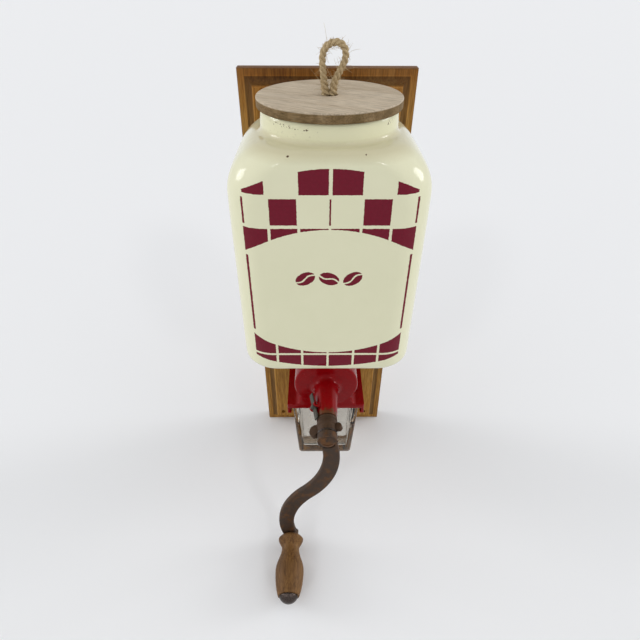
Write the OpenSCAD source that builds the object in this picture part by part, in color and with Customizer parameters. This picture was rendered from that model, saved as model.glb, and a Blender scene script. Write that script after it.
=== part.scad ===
// Wall mounted coffee mill: oak backboard, ceramic hopper, cast mill with a
// horizontal shaft, S-shaped crank and a glass that catches the grounds.
// The origin is on the wall, at the middle of the four wall screw holes.
// +Z is up, the front faces -Y, and distances "out" are measured from the wall.

/* [Backboard] */
// Width of the board
board_w = 122; // [116:1:150]
// Height of the board
board_h = 353; // [345:1:400]
// Thickness of the flat border
rim_t = 10; // [7:0.5:16]
// Width of the flat border
rim_w = 4.5; // [3:0.5:8]
// Radius of the cove, and so the rise of the field
cove_r = 6; // [4:0.5:8]
// Diameter of the wall screw holes
wall_hole_d = 4.5; // [3:0.5:6]
// Distance of the wall screw holes from the board's edges
wall_hole_inset = 17; // [14:0.5:22]

/* [Hopper] */
// Height of the hopper's underside above the board's middle
hopper_z = 0; // [-5:0.5:5]
// Width of the hopper
hopper_w = 119; // [112:1:130]
// Depth of the hopper from the board to its front
hopper_d = 102; // [96:1:112]
// Height of the hopper from its underside to its side shoulders
hopper_h = 156; // [140:1:160]
// Thickness of the hopper's walls
hopper_wall = 5; // [4:0.5:7]
// Radius of the upright corners
corner_r = 22; // [16:1:28]
// Radius of the side shoulders, seen from the front
shoulder_r = 28; // [16:1:34]
// Radius of the top edges at the front and the back, seen from the side
brow_r = 8; // [8:1:20]
// Height of those edges above the sides' shoulders
brow_up = 1.5; // [0:0.1:4]
// Radius of the bottom edges
foot_r = 8; // [6:0.5:12]
// Radius of the floor's edges inside the hopper
floor_r = 12; // [6:1:24]
// Radius of the domed top
dome_r = 107; // [100:1:120]
// Rise of the dome's crown above the side shoulders
dome_rise = 12.7; // [9:0.1:14]
// Outside diameter of the neck
neck_d = 80; // [74:1:84]
// Height of the neck's rim above the side shoulders
neck_h = 11; // [7:0.5:14]
// Flare of the neck's root beyond its rim
neck_flare = 1.5; // [0.5:0.1:3]
// Thickness of the neck's wall
neck_wall = 5; // [4:0.5:7]
// Diameter of the hole in the hopper's floor
outlet_d = 32; // [26:1:34]
// Height of the two fixing screws above the hopper's underside
hopper_screw_h = 113; // [90:1:120]
// Distance between the two fixing screws
hopper_screw_span = 36; // [24:1:50]

/* [Lid] */
// Diameter of the lid
lid_d = 85; // [82:1:92]
// Thickness of the lid
lid_t = 5.5; // [4:0.5:9]
// Depth of the plug under the lid
plug_t = 9; // [6:0.5:12]
// Diameter of the hole for the cord
cord_hole_d = 9.2; // [9:0.1:11]
// Diameter of the lid's cord
cord_d = 4; // [3.5:0.1:4]

/* [Mill body] */
// Drop from the hopper's underside to the shaft's axis
axis_drop = 34.3; // [33:0.1:40]
// Radius of the round chamber
chamber_r = 25.2; // [24.5:0.1:26]
// Length of the chamber from the board to its front face
chamber_l = 81.5; // [78:0.5:88]
// Thickness of the chamber's front wall
front_wall = 6; // [5:0.5:8]
// Radius of the chamber's bore where the beans are fed
feed_bore_r = 17.5; // [17:0.1:18]
// Radius of the seat of the ring burr
ring_seat_r = 20.2; // [19.8:0.1:20.6]
// Width of the base plate
plate_w = 63.5; // [62:0.5:70]
// Thickness of the base plate
plate_t = 5; // [4:0.5:6]
// Drop from the shaft's axis to the base plate's underside
plate_drop = 27.1; // [26.5:0.1:30]
// Thickness of the flange on the board
flange_t = 5; // [4:0.5:7]
// Height of the flange above the shaft's axis
flange_rise = 28.8; // [28:0.1:30]
// Radius of the throat under the hopper
throat_r = 20.5; // [20:0.1:22]
// Length of the bearing tube
tube_l = 33.9; // [32:0.1:38]
// Radius of the bearing tube at the chamber
tube_root_r = 9.7; // [9:0.1:11]
// Radius of the bearing tube at its front end
tube_end_r = 7.5; // [7.2:0.1:7.6]
// Radius of the fillets of the casting
fillet_r = 5; // [3:0.5:6]

/* [Burrs and shaft] */
// Radius of the shaft
shaft_r = 4.5; // [4:0.1:4.7]
// Outside radius of the front bush, which carries the nut
bush_r = 6; // [5.8:0.1:6.2]
// Length of the two burrs
burr_l = 14; // [12:0.5:15]
// Space behind the burrs where the grounds fall
outlet_l = 21; // [20:0.5:23]
// Radius of the cone burr at its wide end
cone_r = 17; // [16:0.1:17.2]
// Radius of the cone burr at its narrow end
cone_tip_r = 11.5; // [10:0.1:12]
// Outside radius of the feed screw
feed_r = 15.5; // [14:0.1:16.5]
// Length of the spring behind the front wall
spring_l = 11.5; // [10:0.5:14]

/* [Adjusting nut and lock] */
// Length of the nut
nut_l = 12.6; // [11.5:0.1:14]
// Outside radius of the nut
nut_r = 7.6; // [7.4:0.1:7.8]
// Reach of the nut's ears from the axis
ear_reach = 13.5; // [12.5:0.1:15]
// Distance of the ears' middle from the nut's back
ear_at = 9.2; // [7:0.1:10.5]
// Turn of the ears from level
ear_turn = 20; // [-40:1:40]
// Length of the lock lever
lever_l = 22; // [20:0.5:23]
// Width of the lock lever
lever_w = 4; // [3:0.5:5]
// Place of the lever around the tube
lever_turn = 155; // [140:1:165]

/* [Crank] */
// Distance from the shaft to the grip
crank_r = 134; // [126:1:140]
// Swing of the hanging crank to the left
crank_rest = 13; // [0:1:20]
// Depth of each half of the crank's S bend
crank_bend = 9.3; // [7:0.1:12]
// Width of the crank's bar at its ends
bar_w = 11.8; // [9:0.1:13]
// How much wider the bar is at the middle of its S
bar_bulge = 1.4; // [0:0.1:3]
// Thickness of the crank's bar
bar_t = 5; // [4:0.5:6]
// Radius of the crank's hub
hub_r = 7.2; // [6.8:0.1:7.5]
// Length of the crank's hub
hub_l = 6.2; // [6:0.1:9]
// Length of the wooden grip
grip_l = 47.5; // [40:0.1:60]
// Radius of the grip at its belly
belly_r = 11.6; // [10:0.1:12.5]
// Length of the grip's end cap
cap_l = 5.7; // [5:0.1:9]

/* [Catch glass] */
// Height of the glass
glass_h = 68.6; // [60:0.1:75]
// Thickness of the glass walls
glass_wall = 4.5; // [3.5:0.1:5.5]
// Thickness of the glass floor
glass_floor = 7; // [5:0.5:10]
// Narrowing of the glass on each side from top to bottom
glass_taper = 3.9; // [2:0.1:5]
// Width of the lugs that hang in the rails
lug_w = 1.2; // [1:0.1:2]

/* [Clearances] */
// Radial clearance of running and pushed fits
fit = 0.05; // [0.03:0.01:0.1]
// Gap between parts that slide or turn past each other
gap = 0.3; // [0.2:0.05:0.4]

/* [Hidden] */
$fn = 64;

// How far cutting shapes run past the faces they cut
over = 1;

// Distances out from the wall
board_t = rim_t + cove_r;
hopper_mid = board_t + hopper_d / 2;
mill_front = board_t + chamber_l;
chamber_end = mill_front - front_wall;
tube_end = mill_front + tube_l;
nut_travel = 0.8;
nut_back = tube_end + nut_travel;
nut_front = nut_back + nut_l;
thrust_t = 1.5;
hub_back = nut_front + thrust_t;
crank_front = hub_back + hub_l;
bar_back = crank_front - bar_t;
grip_washer_t = 1;
end_play = 0.1;
grip_back = crank_front + grip_washer_t + end_play;
grip_front = grip_back + grip_l;
cap_back = grip_front + end_play;
ring_back = board_t + outlet_l;
ring_front = ring_back + burr_l;
feed_back = ring_front + over;
feed_front = chamber_end - spring_l;
shaft_back = board_t + 1.5;
shaft_front = crank_front - gap;

// Heights
axis_z = hopper_z - axis_drop;
gasket_t = 2;
throat_top = hopper_z - gasket_t;
rim_z = hopper_z + hopper_h + neck_h;
lid_z = rim_z + 0.1;
lid_top = lid_z + lid_t;
plug_z = lid_z - plug_t;
dome_z = hopper_z + hopper_h + dome_rise - dome_r;

// Screws
screw_r = 2.1;
screw_head_r = 4;
screw_head_h = 2.6;
screw_in_board = 10;
washer_r = 5.5;
washer_t = 1.2;
flange_screw_x = plate_w / 2 - 5.3;
flange_screw_y = [flange_rise - 5.3, -plate_drop + plate_t + 4.9];

// Bearing plate
bearing_t = 4;
bearing_r = 24;
bearing_boss_r = 8;
bearing_boss_l = 5;
plate_screw_r = 1.2;
plate_screw_head_r = 1.9;
plate_screw_l = 8;

// Burr gap at the wide end, and wider at the mouth
burr_gap = 0.8;
burr_mouth = 3.5;
ring_screw_r = 2;
ring_screw_in = 1.4;
cross_pin_r = 1.5;
cross_pin_l = 17;

// Shaft's square end
square_w = 7;

// Rails and glass
rail_t = 2.2;
lip_t = 1.6;
lug_t = 3.2;
lip_in = 1;
glass_top_w = plate_w - 2 * (rail_t + gap + lug_w);
glass_front = mill_front - 3.5;
glass_back = board_t + flange_t + 3;
glass_top_d = glass_front - glass_back;
glass_corner_r = 3.5;
glass_top_y = -plate_drop - gap;

// Lock lever
lever_t = 0.9;
lever_pin_r = 1.1;
lever_eye_r = 2.1;
lever_mid = nut_back + 1.8 - lever_l / 2;
lever_nose_r = nut_r + 0.4;
lever_pin_x = tube_end_r + 3.1;
lever_tail_r = lever_pin_x + 2;
lug_plate_t = 1.6;

// Grip: distance from its back and radius at each turn of its outline up to the belly
grip_collar_r = 10.6;
grip_neck_r = 7.3;
grip_end_r = 8.6;
belly_at = grip_l - 19.5;
grip_turns = [
    [0, grip_collar_r - 2], [2.2, grip_collar_r], [10.4, grip_neck_r], [belly_at, belly_r]
];
spindle_r = 2.5;
rivet_r = 4.2;
rivet_t = 1.6;
eye_r = bar_w / 2 + 0.4;

// Lid's cord: points from the lid's top, at its middle, x and z
cord_points = [
    [-2.1, -(lid_t + plug_t)], [-2.1, -7], [-2.1, 0], [-2.6, 3], [-3.2, 7], [-3.8, 12], [-4.2, 17],
    [-3.8, 20.7], [-1.8, 24], [1.6, 25.6], [5.2, 25.4], [8, 22.8], [8.5, 18.6], [7, 14.5],
    [4.8, 10.5], [2.9, 6.8], [2.1, 3], [2.1, 0], [2.1, -7], [2.1, -(lid_t + plug_t)]
];
cord_sides = 10;
cord_steps = 2;
knot_r = 6.8;
knot_h = 9;

// Frame on the board's face: x to the right, y up, z out from the wall
module facing(out) {
    translate([0, -out, 0]) rotate([90, 0, 0]) children();
}

// The same frame on the shaft's axis
module outward(out) {
    translate([0, -out, axis_z]) rotate([90, 0, 0]) children();
}

// The hopper's upright axis
module on_hopper(z) {
    translate([0, -hopper_mid, z]) children();
}

// The crank as it hangs: the bar runs to -y from the shaft
module on_crank(out) {
    outward(out) rotate([0, 0, -crank_rest]) children();
}

// Beside the tube: x away from the shaft, z out from the wall
module on_lever() {
    outward(lever_mid) rotate([0, 0, lever_turn]) children();
}

// What is cut away to round the corner at the origin of the first quarter
module corner(r) {
    difference() {
        translate([-over, -over]) square(r + over);
        translate([r, r]) circle(r);
    }
}

// A concave fillet in the first quarter
module fillet(r) {
    difference() {
        translate([-over, -over]) square(r + over);
        translate([r, r]) circle(r);
    }
}

// Rectangle from -w/2 to w/2 and 0 to h with its own radius at each corner
module rounded(w, h, r_left_low, r_right_low, r_right_top, r_left_top) {
    difference() {
        translate([-w / 2, 0]) square([w, h]);
        translate([-w / 2, 0]) corner(r_left_low);
        translate([w / 2, 0]) mirror([1, 0]) corner(r_right_low);
        translate([w / 2, h]) rotate(180) corner(r_right_top);
        translate([-w / 2, h]) mirror([0, 1]) corner(r_left_top);
    }
}

// Screw along +z: round head above z = 0, shank below
module screw(r, l, head_r, head_h) {
    translate([0, 0, -l]) cylinder(h = l, r = r);
    difference() {
        rotate_extrude() intersection() {
            square([head_r, head_h]);
            translate([0, head_h - dome_of(head_r, head_h)]) circle(dome_of(head_r, head_h));
        }
        translate([-head_r, -0.4, head_h - 1]) cube([2 * head_r, 0.8, 1 + over]);
    }
}

// Radius of the dome that covers a head of radius r and height h
function dome_of(r, h) = (r * r + h * h) / (2 * h);

module backboard() {
    color("peru")
    difference() {
        union() {
            facing(0) translate([-board_w / 2, -board_h / 2]) cube([board_w, board_h, rim_t]);
            facing(rim_t) translate([rim_w - board_w / 2, rim_w - board_h / 2])
                cube([board_w - 2 * rim_w, board_h - 2 * rim_w, cove_r]);
        }
        for (side = [-1, 1]) {
            facing(board_t) translate([side * (board_w / 2 - rim_w), -board_h / 2 - over, 0])
                rotate([-90, 0, 0]) cylinder(h = board_h + 2 * over, r = cove_r);
            facing(board_t) translate([-board_w / 2 - over, side * (board_h / 2 - rim_w), 0])
                rotate([0, 90, 0]) cylinder(h = board_w + 2 * over, r = cove_r);
        }
        for (x = [-1, 1], z = [-1, 1])
            facing(-over) translate([
                x * (board_w / 2 - wall_hole_inset), z * (board_h / 2 - wall_hole_inset), 0])
                cylinder(h = board_t + 2 * over, d = wall_hole_d);
        at_body_screws(board_t - screw_in_board - over)
            cylinder(h = screw_in_board + 2 * over, r = screw_r + fit);
        at_hopper_screws(board_t - screw_in_board - over)
            cylinder(h = screw_in_board + 2 * over, r = screw_r + fit);
    }
}

module at_body_screws(out) {
    for (x = [-1, 1], y = flange_screw_y)
        outward(out) translate([x * flange_screw_x, y, 0]) children();
}

module at_hopper_screws(out) {
    for (x = [-1, 1])
        facing(out) translate([x * hopper_screw_span / 2, hopper_z + hopper_screw_h, 0]) children();
}

// The hopper's body, or its inside when inset by the wall
module hopper_form(inset, low_r) {
    w = hopper_w - 2 * inset;
    d = hopper_d - 2 * inset;
    corner = corner_r - inset;
    back_r = 4;
    intersection() {
        on_hopper(hopper_z + inset) translate([0, -d / 2, 0]) linear_extrude(hopper_h + dome_rise)
            rounded(w, d, corner, corner, back_r, back_r);
        facing(board_t + inset) translate([0, hopper_z + inset, 0]) linear_extrude(d)
            rounded(w, hopper_h - 2 * inset, low_r, low_r, shoulder_r - inset, shoulder_r - inset);
        translate([-w / 2, -hopper_mid, hopper_z + inset]) rotate([90, 0, 90]) linear_extrude(w)
            rounded(d, hopper_h + brow_up - 2 * inset, low_r, back_r, brow_r - inset, brow_r - inset);
        on_hopper(dome_z) sphere(dome_r - inset, $fn = 128);
    }
}

module hopper() {
    neck_r = neck_d / 2;
    neck_root = 14;
    color("beige")
    difference() {
        union() {
            hopper_form(0, foot_r);
            on_hopper(rim_z - neck_h - neck_root)
                cylinder(h = neck_h + neck_root, r1 = neck_r + neck_flare, r2 = neck_r);
        }
        hopper_form(hopper_wall, floor_r);
        on_hopper(rim_z - neck_h - neck_root - hopper_wall)
            cylinder(h = neck_h + neck_root + hopper_wall + over, r = neck_r - neck_wall);
        on_hopper(hopper_z - over) cylinder(h = hopper_wall + 2 * over, d = outlet_d);
        at_hopper_screws(board_t - over) cylinder(h = hopper_wall + 2 * over, r = screw_r + fit);
    }
}

module hopper_gasket() {
    color("burlywood")
    on_hopper(throat_top) difference() {
        cylinder(h = gasket_t, r = throat_r + 2.5);
        translate([0, 0, -over]) cylinder(h = gasket_t + 2 * over, d = outlet_d);
    }
}

module hopper_screws() {
    color("silver")
    at_hopper_screws(board_t + hopper_wall + washer_t)
        screw(screw_r, washer_t + hopper_wall + screw_in_board, screw_head_r, screw_head_h);
}

module hopper_washers() {
    color("saddlebrown")
    at_hopper_screws(board_t + hopper_wall) difference() {
        cylinder(h = washer_t, r = washer_r);
        translate([0, 0, -over]) cylinder(h = washer_t + 2 * over, r = screw_r + fit);
    }
}

module lid_disc() {
    edge_r = 1.2;
    color("tan")
    on_hopper(lid_z) difference() {
        rotate_extrude() difference() {
            square([lid_d / 2, lid_t]);
            translate([lid_d / 2, 0]) mirror([1, 0]) corner(edge_r);
            translate([lid_d / 2, lid_t]) rotate(180) corner(edge_r);
        }
        translate([0, 0, -over]) cylinder(h = lid_t + 2 * over, d = cord_hole_d);
        at_lid_pins(-over) cylinder(h = pin_in_lid + over, r = brad_r + fit);
    }
}

plug_r = neck_d / 2 - neck_wall - 2 * gap;
brad_r = 0.8;
pin_in_lid = 3;

module at_lid_pins(z) {
    for (side = [-1, 1]) translate([side * plug_r * 0.6, 0, z]) children();
}

module lid_plug() {
    color("tan")
    on_hopper(plug_z) difference() {
        cylinder(h = plug_t, r = plug_r);
        translate([0, 0, -over]) cylinder(h = plug_t + 2 * over, d = cord_hole_d);
        at_lid_pins(-over) cylinder(h = plug_t + 2 * over, r = brad_r + fit);
    }
}

module lid_pins() {
    head_t = 0.6;
    color("gray")
    on_hopper(plug_z) at_lid_pins(0) {
        cylinder(h = plug_t + pin_in_lid - gap, r = brad_r);
        translate([0, 0, -head_t]) cylinder(h = head_t, r = 2 * brad_r);
    }
}

// Smooth line through the points a, b, c, d between b and c
function between(a, b, c, d, t) =
    0.5 * (2 * b + (c - a) * t + (2 * a - 5 * b + 4 * c - d) * t * t + (3 * b - a - 3 * c + d) * t * t * t);
function smooth(p, steps) = let (last = len(p) - 1) concat(
    [for (i = [0 : last - 1], s = [0 : steps - 1])
        between(p[max(i - 1, 0)], p[i], p[i + 1], p[min(i + 2, last)], s / steps)],
    [p[last]]);
function unit(v) = v / norm(v);

// Skin and ends of a tube of count rings with the given sides
function tube_faces(count, sides) = concat(
    [[for (k = [0 : sides - 1]) k]],
    [for (i = [0 : count - 2], k = [0 : sides - 1])
        [i * sides + k, (i + 1) * sides + k,
         (i + 1) * sides + (k + 1) % sides, i * sides + (k + 1) % sides]],
    [[for (k = [0 : sides - 1]) count * sides - 1 - k]]);

module lid_loop() {
    line = smooth(cord_points, cord_steps);
    last = len(line) - 1;
    rings = [for (i = [0 : last], k = [0 : cord_sides - 1])
        let (along = i == 0 || i == last ? [0, i == 0 ? 1 : -1]
                : unit(line[i + 1] - line[i - 1]),
             turn = 360 * k / cord_sides,
             side = cord_d / 2 * cos(turn))
        [line[i].x - along.y * side, cord_d / 2 * sin(turn), line[i].y + along.x * side]];
    color("darkkhaki")
    on_hopper(lid_top) polyhedron(rings, tube_faces(last + 1, cord_sides));
}

module lid_knot() {
    color("darkkhaki")
    on_hopper(plug_z - knot_h) rotate_extrude() intersection() {
        translate([0, knot_h / 2]) circle(knot_r);
        square([knot_r, knot_h]);
    }
}

// Section of the casting across the shaft: base plate and the saddle up to the chamber
module saddle_section() {
    plate_top = -plate_drop + plate_t;
    saddle_y = -chamber_r * 0.55;
    saddle_x = sqrt(chamber_r * chamber_r - saddle_y * saddle_y) - 0.1;
    translate([-plate_w / 2, -plate_drop]) square([plate_w, plate_t]);
    translate([-saddle_x, plate_top - over]) square([2 * saddle_x, saddle_y - plate_top + over]);
    for (side = [0, 1]) mirror([side, 0]) translate([saddle_x, plate_top]) fillet(fillet_r);
}

// One rail under the plate, with the lip that carries the glass
module rail_section() {
    slot = lug_t + 2 * gap;
    translate([plate_w / 2 - rail_t, -plate_drop - slot - lip_t]) square([rail_t, slot + lip_t + over]);
    translate([plate_w / 2 - rail_t - lip_in, -plate_drop - slot - lip_t]) square([rail_t + lip_in, lip_t]);
}

module chamber() {
    edge_r = 2;
    rotate_extrude($fn = 96) difference() {
        square([chamber_r, chamber_l]);
        translate([chamber_r, chamber_l]) rotate(180) corner(edge_r);
    }
}

module bearing_tube() {
    cylinder(h = tube_l, r1 = tube_root_r, r2 = tube_end_r);
    rotate_extrude() translate([tube_root_r - 0.3, 0]) fillet(fillet_r);
}

module lever_lugs() {
    reach = lever_pin_x + lever_pin_r + 0.9;
    half = lever_eye_r;
    for (side = [-1, 1]) translate([0, side * (lever_w / 2 + gap + lug_plate_t / 2), 0]) {
        translate([bush_r + 0.5, -lug_plate_t / 2, -half])
            cube([lever_pin_x - bush_r - 0.5, lug_plate_t, 2 * half]);
        translate([lever_pin_x, 0, 0]) rotate([90, 0, 0])
            cylinder(h = lug_plate_t, r = reach - lever_pin_x, center = true);
    }
}

module mill_body() {
    seat_lip = 3.5;
    chute_w = 22;
    chute_back = glass_back + glass_wall + 0.5;
    color("firebrick")
    difference() {
        union() {
            outward(board_t) chamber();
            outward(board_t) linear_extrude(chamber_l) {
                saddle_section();
                rail_section();
                mirror([1, 0]) rail_section();
            }
            outward(board_t) translate([-plate_w / 2, -plate_drop, 0])
                cube([plate_w, plate_drop + flange_rise, flange_t]);
            on_hopper(axis_z) cylinder(h = throat_top - axis_z, r = throat_r);
            on_hopper(throat_top - 3) cylinder(h = 3, r = throat_r + seat_lip);
            outward(mill_front) bearing_tube();
            on_lever() lever_lugs();
        }
        outward(ring_front - over) cylinder(h = chamber_end - ring_front + over, r = feed_bore_r);
        outward(board_t - over) cylinder(h = ring_front - board_t + over, r = ring_seat_r + fit);
        outward(board_t - over) cylinder(h = bearing_t + over, r = bearing_r + fit);
        outward(chamber_end - over) cylinder(h = front_wall + tube_l + 2 * over, r = bush_r + fit);
        on_hopper(axis_z) cylinder(h = throat_top - axis_z + over, d = outlet_d);
        outward(chute_back) translate([-chute_w / 2, -plate_drop - over, 0])
            cube([chute_w, plate_drop, ring_back - chute_back]);
        at_body_screws(board_t - over) cylinder(h = flange_t + 2 * over, r = screw_r + fit);
        at_plate_screws(board_t) cylinder(h = plate_screw_l + gap, r = plate_screw_r + fit);
        at_ring_screws() cylinder(h = chamber_r, r = ring_screw_r + fit);
        on_lever() lever_pin_hole();
    }
}

module lever_pin_hole() {
    translate([lever_pin_x, 0, 0]) rotate([90, 0, 0])
        cylinder(h = lever_w + 4 * lug_plate_t, r = lever_pin_r + fit, center = true);
}

module body_screws() {
    color("silver")
    at_body_screws(board_t + flange_t) screw(screw_r, flange_t + screw_in_board, screw_head_r, screw_head_h);
}

module at_plate_screws(out) {
    for (turn = [90, 210, 330])
        outward(out) rotate([0, 0, turn]) translate([(bearing_r + ring_seat_r) / 2, 0, 0]) children();
}

module bearing_plate() {
    color("dimgray")
    difference() {
        union() {
            outward(board_t) cylinder(h = bearing_t, r = bearing_r);
            outward(board_t) cylinder(h = bearing_t + bearing_boss_l, r = bearing_boss_r);
        }
        outward(board_t - over) cylinder(h = bearing_t + bearing_boss_l + 2 * over, r = shaft_r + fit);
        at_plate_screws(board_t - over) cylinder(h = bearing_t + 2 * over, r = plate_screw_r + fit);
        at_plate_screws(board_t - over) cylinder(h = over + 1.2, r = plate_screw_head_r + fit);
    }
}

module plate_screws() {
    color("silver")
    at_plate_screws(board_t) {
        cylinder(h = plate_screw_l, r = plate_screw_r);
        cylinder(h = 1, r = plate_screw_head_r);
    }
}

// Both sides of the ring, level with the middle of the burrs
module at_ring_screws() {
    for (turn = [0, 180])
        outward(ring_back + burr_l / 2) rotate([0, 0, turn])
            translate([ring_seat_r - ring_screw_in, 0, 0]) rotate([0, 90, 0]) children();
}

module ring_burr() {
    teeth = 16;
    mouth_r = cone_tip_r + burr_mouth;
    wide_r = cone_r + burr_gap;
    groove_r = 1;
    lean = atan((wide_r - mouth_r) / burr_l);
    color("slategray")
    difference() {
        outward(ring_back) cylinder(h = burr_l, r = ring_seat_r);
        outward(ring_back - over) cylinder(h = burr_l + 2 * over,
            r1 = wide_r + over * tan(lean), r2 = mouth_r - over * tan(lean));
        for (i = [0 : teeth - 1]) outward(ring_back) rotate([0, 0, 360 * (i + 0.5) / teeth])
            translate([wide_r, 0, 0]) rotate([0, -lean, 0])
            translate([0, 0, -over]) cylinder(h = burr_l + 3 * over, r = groove_r, $fn = 24);
        at_ring_screws() cylinder(h = chamber_r, r = ring_screw_r + fit);
    }
}

module ring_screws() {
    slot = 0.8;
    l = chamber_r - ring_seat_r + ring_screw_in - 0.4;
    color("silver")
    at_ring_screws() translate([0, 0, gap]) difference() {
        cylinder(h = l - gap, r = ring_screw_r);
        translate([-ring_screw_r, -slot / 2, l - gap - 1]) cube([2 * ring_screw_r, slot, 1 + over]);
    }
}

module cone_burr() {
    teeth = 12;
    groove_r = 1.2;
    lean = atan((cone_r - cone_tip_r) / burr_l);
    color("slategray")
    difference() {
        outward(ring_back) cylinder(h = burr_l, r1 = cone_r, r2 = cone_tip_r);
        for (i = [0 : teeth - 1]) outward(ring_back) rotate([0, 0, 360 * (i + 0.5) / teeth])
            translate([cone_r + 0.4, 0, 0]) rotate([0, -lean, 0])
            translate([0, 0, -over]) cylinder(h = burr_l + 4 * over, r = groove_r, $fn = 24);
        outward(ring_back - over) cylinder(h = burr_l + 2 * over, r = shaft_r + fit);
        cross_pin(cross_pin_r + fit, 2 * cone_r);
    }
}

module cross_pin(r, l) {
    outward(ring_back + burr_l / 2) rotate([0, 90, 0]) cylinder(h = l, r = r, center = true);
}

module drive_pin() {
    color("silver") cross_pin(cross_pin_r, cross_pin_l);
}

// Two flights that push the beans back into the burrs
module feed_screw() {
    core_r = shaft_r + 2.2;
    flight_w = 3;
    turns = 1;
    color("slategray")
    outward(feed_back) difference() {
        union() {
            cylinder(h = feed_front - feed_back, r = core_r);
            linear_extrude(feed_front - feed_back, twist = 360 * turns, slices = 30) intersection() {
                translate([-feed_r, -flight_w / 2]) square([2 * feed_r, flight_w]);
                circle(feed_r, $fn = 40);
            }
        }
        translate([0, 0, -over]) cylinder(h = feed_front - feed_back + 2 * over, r = shaft_r + fit);
    }
}

module drive_shaft() {
    color("lightslategray")
    difference() {
        union() {
            outward(shaft_back) cylinder(h = hub_back - shaft_back, r = shaft_r);
            outward(hub_back) intersection() {
                cylinder(h = shaft_front - hub_back, r = shaft_r);
                translate([-square_w / 2, -square_w / 2, 0]) cube([square_w, square_w, hub_l]);
            }
        }
        cross_pin(cross_pin_r + fit, 4 * shaft_r);
        outward(shaft_front - crank_screw_l) cylinder(h = crank_screw_l + over, r = crank_screw_r + fit);
    }
}

crank_screw_r = 2.2;
crank_screw_l = 9;

module shaft_spring() {
    wire_r = 0.7;
    coil_r = shaft_r + 2.5;
    turns = 4;
    steps = 18;
    sides = 8;
    travel = spring_l - 2 * wire_r;
    count = turns * steps;
    rings = [for (i = [0 : count], k = [0 : sides - 1])
        let (turn = 360 * i / steps, around = 360 * k / sides, r = coil_r + wire_r * cos(around))
        [r * cos(turn), r * sin(turn), travel * i / count + wire_r * sin(around)]];
    color("silver")
    outward(feed_front + wire_r) polyhedron(rings, tube_faces(count + 1, sides));
}

module front_bush() {
    bush_front = nut_front - 1.5;
    bush_l = tube_l * 0.55;
    color("goldenrod")
    outward(tube_end - bush_l) difference() {
        cylinder(h = bush_front - tube_end + bush_l, r = bush_r);
        translate([0, 0, -over]) cylinder(h = bush_front - tube_end + bush_l + 2 * over, r = shaft_r + fit);
    }
}

module adjusting_nut() {
    ear_t = 3;
    ear_r = 3.3;
    web_r = 3.4;
    web_at = ear_at - 2.8;
    color("rosybrown")
    outward(nut_back) rotate([0, 0, ear_turn]) difference() {
        union() {
            cylinder(h = nut_l, r = nut_r);
            for (turn = [0, 180]) rotate([0, 0, turn]) {
                translate([ear_reach - ear_r, 0, ear_at]) rotate([90, 0, 0])
                    cylinder(h = ear_t, r = ear_r, center = true);
                translate([nut_r, 0, web_at]) rotate([90, 0, 0])
                    cylinder(h = ear_t, r = web_r, center = true);
            }
        }
        translate([0, 0, -over]) cylinder(h = nut_l + 2 * over, r = bush_r + fit);
        translate([0, 0, nut_l]) cylinder(h = thrust_t + hub_l, r = hub_r + 2 * gap);
    }
}

module thrust_washer() {
    color("silver")
    outward(nut_front) difference() {
        cylinder(h = thrust_t, r = hub_r);
        translate([0, 0, -over]) cylinder(h = thrust_t + 2 * over, r = shaft_r + fit);
    }
}

// Strip seen from its edge: nose over the nut's collar, eye, tail flared from the tube
module lock_lever() {
    half = lever_l / 2;
    color("darkslategray")
    on_lever() difference() {
        union() {
            rotate([90, 0, 0]) linear_extrude(lever_w, center = true) polygon([
                [lever_nose_r, half], [lever_nose_r + lever_t, half],
                [lever_pin_x + lever_t / 2, 0], [lever_tail_r + lever_t, -half],
                [lever_tail_r, -half], [lever_pin_x - lever_t / 2, 0]]);
            translate([lever_pin_x, 0, 0]) rotate([90, 0, 0])
                cylinder(h = lever_w, r = lever_eye_r, center = true);
        }
        lever_pin_hole();
    }
}

module lock_pin() {
    color("silver")
    on_lever() translate([lever_pin_x, 0, 0]) rotate([90, 0, 0])
        cylinder(h = lever_w + 2 * gap + 2 * lug_plate_t, r = lever_pin_r, center = true);
}

// The S bend: two equal arcs, each half of the crank's reach, the upper one bulging to +x
bend_chord = crank_r / 2;
bend_r = (bend_chord * bend_chord / 4 + crank_bend * crank_bend) / (2 * crank_bend);
bend_spread = asin(bend_chord / 2 / bend_r);
bend_steps = 16;

// Place on the upper arc, and the direction to its outer side, at an angle
function bend_side(turn) = [cos(turn), sin(turn)];
function bend_place(turn) = [crank_bend - bend_r, -bend_chord / 2] + bend_r * bend_side(turn);
bend_turns = [for (i = [0 : bend_steps]) bend_spread * (1 - 2 * i / bend_steps)];

// Half the bar's width at a step from the hub to the eye
function bar_half(step) = (bar_w + bar_bulge * sin(90 * step / bend_steps)) / 2;

// One edge of the bar from the hub to the eye, on its +x side (1) or its -x side (-1)
function bar_edge(side) = concat(
    [for (i = [0 : bend_steps]) let (turn = bend_turns[i])
        bend_place(turn) + side * bar_half(i) * bend_side(turn)],
    [for (i = [1 : bend_steps]) let (turn = bend_turns[bend_steps - i])
        [0, -crank_r] - bend_place(turn) + side * bar_half(bend_steps + i) * bend_side(turn)]);
function reversed(list) = [for (i = [len(list) - 1 : -1 : 0]) list[i]];

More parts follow.
